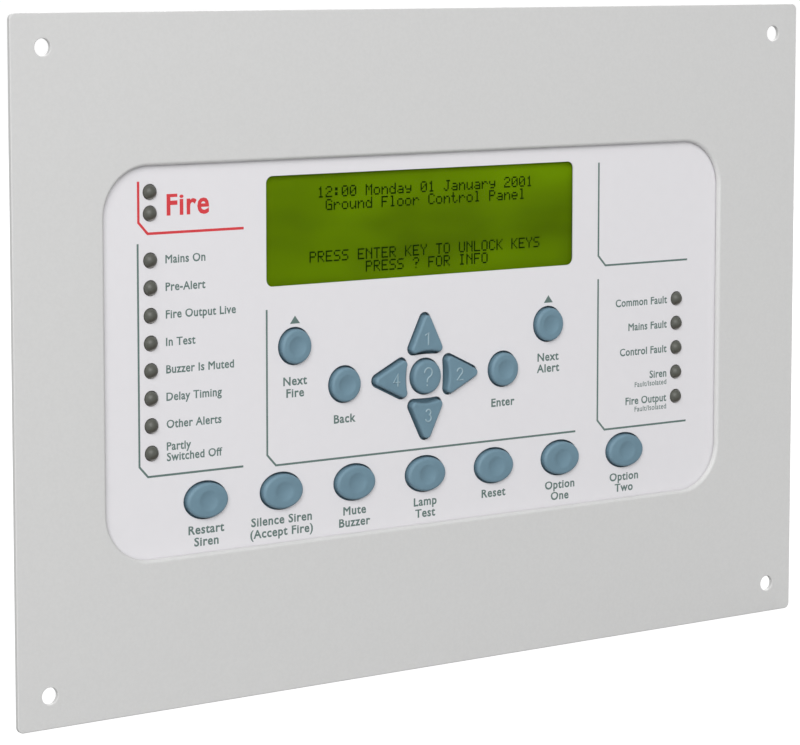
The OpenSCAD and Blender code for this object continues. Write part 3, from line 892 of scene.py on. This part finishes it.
def make_mark(node):
    """The raised figure on a key's face."""
    place, size = HELP_CENTRE, HELP_FIGURE
    if node in ARROW_KEYS:
        place, size = beyond_help(node, 13.1), ARROW_FIGURE
    shape = Shape()
    for stroke in FIGURES[node]:
        ridge(shape, pen_path(stroke, *place, size), KEY_FRONT, FIGURE_W, FIGURE_RISE)
    shape.piece(node + "_figure", KEY_MARK, "key_rubber", (), joint_body(node), 50)


# ---- lamps

def make_lamps():
    top = box_mm("fire_leds")[0][1]
    dome = [(LAMP_R * sin(t), top + LAMP_R * (1 - cos(t))) for t in quarter(12)]
    base = [(LAMP_R, BOARD_Y - 1), (LAMP_BASE_R, BOARD_Y - 1), (LAMP_BASE_R, BOARD_Y), (0, BOARD_Y)]
    lamps = {"fire_leds": FIRE_LAMPS, "status_leds": STATUS_LAMPS, "fault_leds": FAULT_LAMPS}
    for node, places in lamps.items():
        shape = Shape()
        for x, z in places:
            shape.lathe(x, z, dome + base, 40)
        shape.piece(node + "_domes", LAMP, "lamp_dome", [node], smooth=40)


# ---- rear parts
# Places on the boards repeat the part's own, in millimetres.

RELAY_XS = [-70, -46, -22, 2]
RELAY_Z = -41
FUSE_X = -101
FUSE_ZS = [-43, -32, -21]
CAPACITOR_XS = [30, 43, 56]
CAPACITOR_Z = -42
SOIC_PLACES = [(x, z) for x in (14, 34) for z in (-20, -4, 12)]
DIP_PLACES = [(-64, -18), (-64, 2)]
PROCESSOR = (-22, -8)
RIBBON_WAYS = 26
WAY = 1.27
LEG_HALF = 0.2


def make_relays():
    cases, marks = Shape(), Shape()
    y0, y1 = CONTROL_BACK, box_mm("relays")[1][1]
    for x in RELAY_XS:
        cases.block((x - 9.7, y0 + 0.4, RELAY_Z - 5.3), (x + 9.7, y1, RELAY_Z + 5.3), 0.6)
        cases.block((x - 10, y0, RELAY_Z - 5.5), (x + 10, y0 + 0.8, RELAY_Z + 5.5), 0.15)
        marks.frame(rect_outline(x, RELAY_Z, 15.5, 7, 0.8, 4), y1 - 0.05, y1 - 0.01, 0.25)
        marks.prism(round_outline(x - 6, RELAY_Z - 1.8, 0.5, 16), y1 - 0.05, y1 - 0.01)
    cases.piece("relay_cases", moulded("relay_ivory", (0.72, 0.7, 0.6), 0.3), "relay_case", ["relays"])
    marks.piece("relay_lines", moulded("relay_grey", (0.2, 0.2, 0.22), 0.5), "relay_case")


def make_capacitors():
    y0, y1 = CONTROL_BACK, box_mm("capacitors")[1][1]
    sleeves, tops, stripes = Shape(), Shape(), Shape()
    side = [(0, y0), (4.5, y0), (4.97, y0 + 0.4), (4.97, y0 + 1.4), (4.7, y0 + 1.9), (4.97, y0 + 2.4),
            (4.97, y1 - 0.6), (4.75, y1 - 0.15), (4.3, y1), (4.1, y1 - 0.1), (4.1, y1 - 0.6), (0, y1 - 0.6)]
    disc = [(0, y1 - 0.65), (4.1, y1 - 0.65), (4.1, y1 - 0.35), (0, y1 - 0.35)]
    for x in CAPACITOR_XS:
        sleeves.lathe(x, CAPACITOR_Z, side)
        for turn in (0, 90, 180, 270):
            tops.prism(wedge_outline(x, CAPACITOR_Z, 3.95, turn + 5, turn + 85), y1 - 0.7, y1 - 0.12, 0.12)
        tops.lathe(x, CAPACITOR_Z, disc, 32)
        stripes.prism(shell_outline(x, CAPACITOR_Z, 4.9, 5.0, -25, 25), y0 + 2.6, y1 - 0.7)
    sleeve = moulded("sleeve_blue", (0.02, 0.035, 0.11), 0.3)
    sleeves.piece("capacitor_cans", sleeve, "capacitor_sleeve", ["capacitors"])
    tops.piece("capacitor_vents", metal("can_top", (0.75, 0.76, 0.78), 0.3), "capacitor_sleeve")
    stripes.piece("capacitor_stripes", moulded("stripe_grey", (0.5, 0.52, 0.55), 0.4), "capacitor_sleeve")


def wedge_outline(cx, cz, r, a0, a1):
    """A quarter of a disc, for the scored top of a can."""
    mid = radians((a0 + a1) / 2)
    tip = (cx + 0.25 * cos(mid), cz + 0.25 * sin(mid))
    return lambda g: [tip] + arc(cx, cz, r + g, a0, a1, 10)


def shell_outline(cx, cz, r0, r1, a0, a1):
    """A thin curved strip between two radii."""
    return lambda g: arc(cx, cz, r1, a0, a1, 12) + arc(cx, cz, r0, a1, a0, 12)


def make_fuses():
    glass, caps = Shape(), Shape()
    y = CONTROL_BACK + 5.5
    x0, x1 = FUSE_X - 10, FUSE_X + 10
    for z in FUSE_ZS:
        barrel(glass, x0 + 0.5, x1 - 0.5, y, z, [(2.2, 0), (2.2, 1)])
        barrel(caps, x0, x0 + 5.5, y, z, [(2.1, 0), (2.5, 0.08), (2.5, 0.94), (2.35, 1)])
        barrel(caps, x1 - 5.5, x1, y, z, [(2.35, 0), (2.5, 0.06), (2.5, 0.92), (2.1, 1)])
    glass.piece("fuse_tubes", moulded("fuse_glass", (0.5, 0.56, 0.56), 0.12), "fuse_glass", ["fuses"])
    caps.piece("fuse_caps", metal("fuse_cap", (0.8, 0.8, 0.8), 0.22), "fuse_glass")


def barrel(shape, x0, x1, y, z, profile, steps=32):
    """A turned part along X: (radius, share of the length) from one end to the other."""
    rings = []
    for r, share in profile:
        at = x0 + (x1 - x0) * share
        turns = [tau * k / steps for k in range(steps)]
        rings.append(shape.loop([(at, y + r * cos(a), z + r * sin(a)) for a in turns]))
    shape.rod(rings)


def tube(shape, path, radius, sides=8):
    """A round tube along points in space."""
    side = None
    rings = []
    for before, p, after in neighbours([Vector(p) for p in path]):
        along = (after - before).normalized()
        if side is None:
            side = along.orthogonal().normalized()
        side = (side - along * side.dot(along)).normalized()
        other = along.cross(side)
        turns = [tau * k / sides for k in range(sides)]
        rings.append(shape.loop([p + (side * cos(a) + other * sin(a)) * radius for a in turns]))
    shape.rod(rings)


def make_inductor():
    lo, hi = box_mm("inductor")
    cx, cy, cz = [(a + b) / 2 for a, b in zip(lo, hi)]

    def on_ring(turn, around, flat, tall):
        """A place round the ring's middle line, at an angle round its section."""
        r = 6 + flat * cos(around)
        return cx + r * cos(turn), cy + tall * sin(around), cz + r * sin(turn)

    core, wire = Shape(), Shape()
    rings = []
    for i in range(48):
        turn = tau * i / 48
        rings.append(core.loop([on_ring(turn, tau * k / 16, 3.0, 3.1) for k in range(16)]))
    core.skin(rings + rings[:1])
    core.piece("inductor_core", moulded("core_grey", (0.06, 0.065, 0.07)), "inductor_copper", ["inductor"])
    turns = 26
    shares = [i / (turns * 16) for i in range(turns * 16 + 1)]
    path = [on_ring(radians(15 + 330 * share), tau * turns * share, 3.5, 3.5) for share in shares]
    tube(wire, path, 0.42, 6)
    copper = metal("enamelled_copper", (0.6, 0.25, 0.09), 0.25)
    wire.piece("inductor_winding", copper, "inductor_copper", smooth=60)


def leg(shape, at, middle, s, body_half, tip_half, top, along_z=False):
    """One bent leg on side s of a chip, from its body down to the board and out."""
    y = CONTROL_BACK
    spans = [(body_half - 0.3, body_half + 0.5, y + top - 0.12, y + top),
             (body_half + 0.35, body_half + 0.55, y + 0.05, y + top),
             (body_half + 0.35, tip_half, y, y + 0.15)]
    for near, far, y0, y1 in spans:
        a, b = sorted((middle + s * near, middle + s * far))
        if along_z:
            shape.block((a, y0, at - LEG_HALF), (b, y1, at + LEG_HALF))
        else:
            shape.block((at - LEG_HALF, y0, a), (at + LEG_HALF, y1, b))


# Chips: places, half length and width, gap, height, bevel, dot's place and radius, legs, pitch, reach, fold
CHIPS = [(SOIC_PLACES, 5.8, 2.4, 0.15, 2, 0.25, (4.9, 1.5, 0.35, 16), 8, WAY, 3.5, 1.0),
         (DIP_PLACES, 18, 6, 0.6, 4, 0.4, (16.3, 0, 0.9, 20), 14, 2 * WAY, 6.9, 2.2)]


def chip_body(shape, dots, x, z, length, width, gap, height, bevel, dot):
    """A chip's body, and the moulded dot that marks its first leg."""
    y = CONTROL_BACK
    shape.block((x - length, y + gap, z - width), (x + length, y + height, z + width), bevel)
    dots.prism(round_outline(x - dot[0], z - dot[1], *dot[2:]), y + height - 0.02, y + height)


def make_chips():
    processor, chips, legs, dots = Shape(), Shape(), Shape(), Shape()
    px, pz = PROCESSOR
    chip_body(processor, dots, px, pz, 10.2, 10.2, 0.2, 2.6, 0.35, (8.3, 8.3, 0.7, 20))
    for k, s in product(range(22), (-1, 1)):
        step = (k - 10.5) * 0.85
        leg(legs, px + step, pz, s, 10.2, 12, 1.3)
        leg(legs, pz + step, px, s, 10.2, 12, 1.3, True)
    for places, length, width, gap, height, bevel, dot, count, pitch, reach, fold in CHIPS:
        for x, z in places:
            chip_body(chips, dots, x, z, length, width, gap, height, bevel, dot)
            for k, s in product(range(count), (-1, 1)):
                leg(legs, x + (k - (count - 1) / 2) * pitch, z, s, width, reach, fold)
    epoxy = moulded("processor_epoxy", (0.022, 0.022, 0.024))
    processor.piece("processor_body", epoxy, "chip_black", ["processor"], smooth=0)
    epoxy = moulded("chip_epoxy", (0.026, 0.026, 0.027), 0.55)
    chips.piece("support_chip_bodies", epoxy, "chip_black", ["support_chips"], smooth=0)
    legs.piece("chip_legs", metal("tinned_legs", (0.75, 0.75, 0.74), 0.3), "chip_black", smooth=0)
    dots.piece("chip_dots", moulded("chip_dot", (0.09, 0.09, 0.09), 0.7), "chip_black", smooth=0)


def make_buzzer():
    lo, hi = box_mm("buzzer")
    y0, y1 = lo[1], hi[1]
    shape = Shape()
    case = [(0, y0), (11.6, y0), (12, y0 + 0.4), (12, y1 - 1.6), (11.5, y1 - 0.9), (11, y1 - 0.2),
            (10.6, y1), (9, y1), (8.8, y1 - 0.3), (2.6, y1 - 0.3), (2.3, y1), (1.7, y1), (1.5, y1 - 0.2),
            (1.5, y1 - 2), (0, y1 - 2)]
    shape.lathe(*centre_mm("buzzer"), case, 64)
    black = moulded("buzzer_black", (0.018, 0.018, 0.019), 0.4)
    shape.piece("buzzer_case", black, "buzzer_black", ["buzzer"])


def make_cell():
    lo, hi = box_mm("coin_cell")
    x, z = centre_mm("coin_cell")
    y0, y1 = lo[1], hi[1]
    can, clip = Shape(), Shape()
    can.lathe(x, z, [(0, y0), (8.6, y0), (8.9, y0 + 0.3), (9.3, y0 + 0.35), (10, y0 + 0.9), (10, y1 - 0.3),
                     (9.7, y1), (9.0, y1), (8.85, y1 - 0.12), (0, y1 - 0.12)], 64)
    can.piece("cell_can", metal("cell_steel", (0.72, 0.72, 0.7), 0.26), "cell_steel", ["coin_cell"])
    clip.block((x - 2, y1 - 0.05, z - 11.6), (x + 2, y1 + 0.3, z + 1), 0.1)
    clip.block((x - 2, CONTROL_BACK, z - 11.9), (x + 2, y1 + 0.3, z - 11.4), 0.1)
    clip.piece("cell_clip", metal("clip_nickel", (0.7, 0.68, 0.62), 0.28), "cell_steel", smooth=0)


def make_ribbon():
    lo, hi = box_mm("ribbon_cable")
    half = 0.45
    x_a, x_b, y_a, top = hi[0] - half, lo[0] + half, lo[1], hi[1]
    r = (x_a - x_b) / 2
    y_b = box_mm("ribbon_sockets")[1][1]
    mid, bend_y = (x_a + x_b) / 2, top - half - r
    line = [(x_a, y_a + (bend_y - y_a) * k / 4) for k in range(4)]
    line += arc(mid, bend_y, r, 0, 180, 14) + [(x_b, y_b)]
    cores, edge, web = Shape(), Shape(), Shape()
    reach = (RIBBON_WAYS - 1) / 2 * WAY
    for k in range(RIBBON_WAYS):
        tube(edge if k == 0 else cores, [(x, y, k * WAY - reach) for x, y in line], half)
    rings = []
    for x, y in line:
        out = Vector((x - mid, max(y - bend_y, 0))).normalized() * 0.2
        corners = ((1, -reach), (1, reach), (-1, reach), (-1, -reach))
        rings.append(web.loop([(x + s * out.x, y + s * out.y, z) for s, z in corners]))
    web.rod(rings)
    grey = moulded("ribbon_pvc", (0.4, 0.4, 0.41), 0.45)
    cores.piece("ribbon_cores", grey, "ribbon_grey", ["ribbon_cable"], smooth=60)
    edge.piece("ribbon_first_core", moulded("ribbon_red", (0.5, 0.05, 0.05), 0.45), "ribbon_grey", smooth=60)
    web.piece("ribbon_web", moulded("ribbon_web_pvc", (0.36, 0.36, 0.37), 0.5), "ribbon_grey", smooth=60)


def track(shape, points, y, width):
    """A copper track on a board's back face."""
    loop = line_loop(points, width, False)
    shape.prism(lambda g: loop, y - 0.01, y + 0.03)


def bus(tracks, pads, x0, z0, x1, z1, count, pitch, y, width=0.4):
    """Parallel tracks that run level, step over at 45 degrees and run level again, between two vias."""
    rise = z1 - z0
    for k in range(count):
        shift = k * pitch
        bend = (x0 + x1) / 2 - abs(rise) / 2 - (shift if rise > 0 else -shift) * 0.4
        points = [(x0, z0 + shift), (x1, z1 + shift)]
        if rise:
            points[1:1] = [(bend, z0 + shift), (bend + abs(rise), z1 + shift)]
        track(tracks, points, y, width)
        for x, z in (points[0], points[-1]):
            pads.prism(round_outline(x, z, 0.33, 12), y - 0.01, y + 0.05)


def chip_resistor(ends, middle, x, z, y, upright):
    """A small surface part: dark middle between two tinned ends."""
    w, h = (0.6, 1.0) if upright else (1.0, 0.6)
    middle.block((x - w + 0.2, y, z - h + 0.2), (x + w - 0.2, y + 0.55, z + h - 0.2))
    for s in (-1, 1):
        dx, dz, a, b = (0, s * h, w, 0.25) if upright else (s * w, 0, 0.25, h)
        ends.block((x + dx - a, y, z + dz - b), (x + dx + a, y + 0.6, z + dz + b))


# Bundles of tracks on the control board: from, to, how many, how far apart
BUSES = [(-8, -18, 7, -22, 6, 0.95), (-8, -10, 7, -6, 6, 0.95), (-8, -2, 7, 10, 6, 0.95),
         (-44, -14, -36, -14, 7, 0.95), (-44, -3, -36, -7, 5, 0.95), (21.5, -22, 27, -22, 5, 0.95),
         (21.5, -6, 27, -6, 5, 0.95), (21.5, 10, 27, 10, 5, 0.95), (42, 9, 95, 13, 6, 1.0),
         (42, -22, 95, -14, 5, 1.0), (-92, 10, -85, 6, 4, 1.1)]

# Rows of small parts on it: first place, how far apart, how many, upright
PART_ROWS = [(-84, 17, 3.2, 9, True), (-44, 13, 3.2, 12, True), (5, 20, 3.2, 14, True),
             (-6, -31, 3.0, 9, True), (-84, -29, 3.2, 9, True), (44, 4, 2.6, 2, False),
             (54, 18, 3.2, 9, True), (40, -30, 3.0, 7, True), (-44, -27, 3.2, 5, True),
             (84, -4, 3.0, 4, True)]

# Printed frames round its components: places, width, height
FRAMES = [(SOIC_PLACES, 13.4, 8.4), (DIP_PLACES, 38, 15.4), ([(x, RELAY_Z) for x in RELAY_XS], 21.4, 12.4),
          ([(FUSE_X, z) for z in FUSE_ZS], 25.4, 9.4), ([PROCESSOR], 26, 26)]


def solder_cone(shape, x, z, y, foot, neck, height):
    """A fillet of solder round a clipped lead."""
    profile = [(0, y), (foot, y), (0.5, y + 0.35), (neck, y + height - 0.1), (0, y + height)]
    shape.lathe(x, z, profile, 12)


def make_board_details():
    y = CONTROL_BACK
    tracks, pads, lines, ends, middle = Shape(), Shape(), Shape(), Shape(), Shape()
    for place in BUSES:
        bus(tracks, pads, *place, y)
    for (k, x), step in product(enumerate(RELAY_XS), (-6, 0, 6)):
        track(tracks, [(x + step, -46.6), (x + step, -50), (x + step + 1.5 + k, -52.4)], y, 1.4)
    for places, w, h in FRAMES:
        for x, z in places:
            lines.frame(rect_outline(x, z, w, h, 0.3, 2), y - 0.005, y + 0.025, 0.2)
    for x, z, pitch, count, upright in PART_ROWS:
        for k in range(count):
            chip_resistor(ends, middle, x + k * pitch, z, y, upright)
    back = box_mm("display_board")[1][1]
    for (x, z), s in product(FIRE_LAMPS + STATUS_LAMPS + FAULT_LAMPS, (-1, 1)):
        solder_cone(ends, x + s * WAY, z, back, 0.8, 0.25, 1.0)
    for k in range(5):
        x, z = -113 + k, 20 - 0.4 * k
        track(tracks, [(x, -40), (x, z), (x + 3, z + 3), (x + 3, 58)], back, 0.5)
        x, z = 97 + 1.2 * k, 54 - 1.2 * k
        track(tracks, [(x, 30), (x, z - 4), (x + 4, z), (110, z)], back, 0.5)
    bus(tracks, pads, 88, 56, 108, 60, 3, 1.1, back)
    lcd_back = box_mm("lcd_board")[1][1]
    for k in range(20):
        x, z = (k - 9.5) * 2 * WAY - 4, 61 + k % 4
        solder_cone(ends, x, 66.5, lcd_back, 0.85, 0.3, 0.9)
        track(tracks, [(x, 65.4), (x, z)], lcd_back, 0.5)
        pads.prism(round_outline(x, z, 0.4, 12), lcd_back - 0.01, lcd_back + 0.05)
    for x in (-36, -14, 8, 30):
        bus(tracks, pads, x - 6.5, 36, x + 6.5, 36, 8, 1.1, lcd_back, 0.45)
    for k in range(9):
        chip_resistor(ends, middle, -40 + 9 * k, 22, lcd_back, True)
    copper = moulded("tracks_under_mask", (0.05, 0.27, 0.1), 0.3, 800, 0.00001)
    tracks.piece("board_tracks", copper, "board_green", smooth=0)
    pads.piece("board_vias", metal("via_tin", (0.75, 0.72, 0.6), 0.3), "board_green", smooth=0)
    lines.piece("board_outlines", moulded("board_print", (0.75, 0.76, 0.73), 0.5), "board_green", smooth=0)
    ends.piece("board_solder", metal("solder", (0.72, 0.73, 0.74), 0.25), "board_green")
    dark = moulded("small_parts", (0.12, 0.1, 0.08), spread=0.5)
    middle.piece("board_small_parts", dark, "board_green", smooth=0)


# ---- carried nodes

def dress_all():
    """Gives the carried CAD nodes their own materials."""
    finishes = [
        (metal("zinc_plate", (0.62, 0.63, 0.65), 0.32),
         ["stud_nuts", "lcd_spacers", "lcd_screws", "board_pillars", "board_screws", "hex_standoffs",
          "control_board_screws", "terminal_screws"]),
        (metal("copper_flash", (0.62, 0.34, 0.2), 0.35), ["plate_studs", "earth_stud"]),
        (metal("brass", (0.72, 0.55, 0.27), 0.3), ["earth_nuts"]),
        (metal("gold_flash", (0.83, 0.62, 0.25), 0.25), ["key_contacts"]),
        (metal("galvanised", (0.5, 0.52, 0.54), 0.42, (1, 1, 1)), ["fascia_carrier"]),
        (metal("black_anodised", (0.05, 0.05, 0.05), 0.45), ["heat_sink"]),
        (board_mask(), ["lcd_board", "display_board", "control_board"]),
        (moulded("moulded_black", (0.02, 0.02, 0.021), 0.45),
         ["lcd_bezel", "fuse_holders", "cell_holder", "ribbon_headers"]),
        (moulded("driver_epoxy", (0.025, 0.025, 0.026), 0.55), ["lcd_driver_chips", "voltage_regulator"]),
        (moulded("terminal_green", (0.03, 0.25, 0.09), 0.45), ["terminal_blocks"]),
        (moulded("socket_grey", (0.2, 0.2, 0.21), 0.5), ["ribbon_sockets"]),
        (moulded("light_guide", (0.8, 0.8, 0.76), 0.4), ["lcd_backlight"]),
        (PANE, ["display_window"]),
        (KEY_RUBBER, ["keypad_mat"]),
    ]
    for material, nodes in finishes:
        for node in nodes:
            slots = NODES[node].data.materials
            slots.clear()
            slots.append(material)


# ---- stage, light and camera

FLOOR_HALF = 40.0
FLOOR_GAP = 0.0001
WHITE = (1, 1, 1, 1)
FILL = 0.38
CAMERA_PLACE = (-0.5833, -0.8155, 0.1279)
CAMERA_TURN = (90 - 5.6, 0, -34.885)
CAMERA_LENS = 134.82
CAMERA_SHIFT = -0.15


def make_stage():
    half, z = FLOOR_HALF, cad_lo[2] - FLOOR_GAP
    mesh = bpy.data.meshes.new("floor")
    corners = [(-half, -half, z), (half, -half, z), (half, half, z), (-half, half, z)]
    mesh.from_pydata(corners, [], [(0, 1, 2, 3)])
    floor = new_object("floor", mesh)
    mesh.materials.append(floor_white())


def make_light():
    """Dim fill light from a world that is seen as white, and two soft lamps."""
    world = bpy.data.worlds.new("studio")
    world.use_nodes = True
    tree = world.node_tree
    soft = tree.nodes["Background"]
    feed(soft, {"Color": WHITE, "Strength": FILL})
    white = add_node(tree, "Background", {"Color": WHITE, "Strength": 1.0})
    out = seen_white(tree, soft.outputs["Background"], white.outputs["Background"])
    feed(tree.nodes["World Output"], {"Surface": out})
    bpy.context.scene.world = world
    area_light("soft_key", (-0.48, -0.69, 0.46), 3.2, 2.7, 90)
    area_light("soft_back", (0.35, 0.75, 0.56), 2.3, 2.0, 34)


def area_light(name, direction, distance, size, energy):
    """A round soft light that looks at the object's middle from a direction."""
    toward = Vector(direction).normalized()
    lamp = new_object(name, bpy.data.lights.new(name, "AREA"), shape="DISK", size=size, energy=energy)
    lamp.location = toward * distance
    lamp.rotation_mode = "QUATERNION"
    lamp.rotation_quaternion = toward.to_track_quat("Z", "Y")


def make_camera():
    camera = new_object("camera", bpy.data.cameras.new("camera"), lens=CAMERA_LENS, sensor_width=36,
                        shift_y=CAMERA_SHIFT, clip_end=200)
    camera.location = CAMERA_PLACE
    camera.rotation_euler = [radians(a) for a in CAMERA_TURN]
    bpy.context.scene.camera = camera
    bpy.context.scene.view_settings.view_transform = "Standard"


make_stage()
make_light()
make_camera()
make_plate()
make_overlay()
make_line_prints()
make_labels()
make_display()
make_keys()
make_lamps()
make_relays()
make_capacitors()
make_fuses()
make_inductor()
make_chips()
make_buzzer()
make_cell()
make_ribbon()
make_board_details()
dress_all()
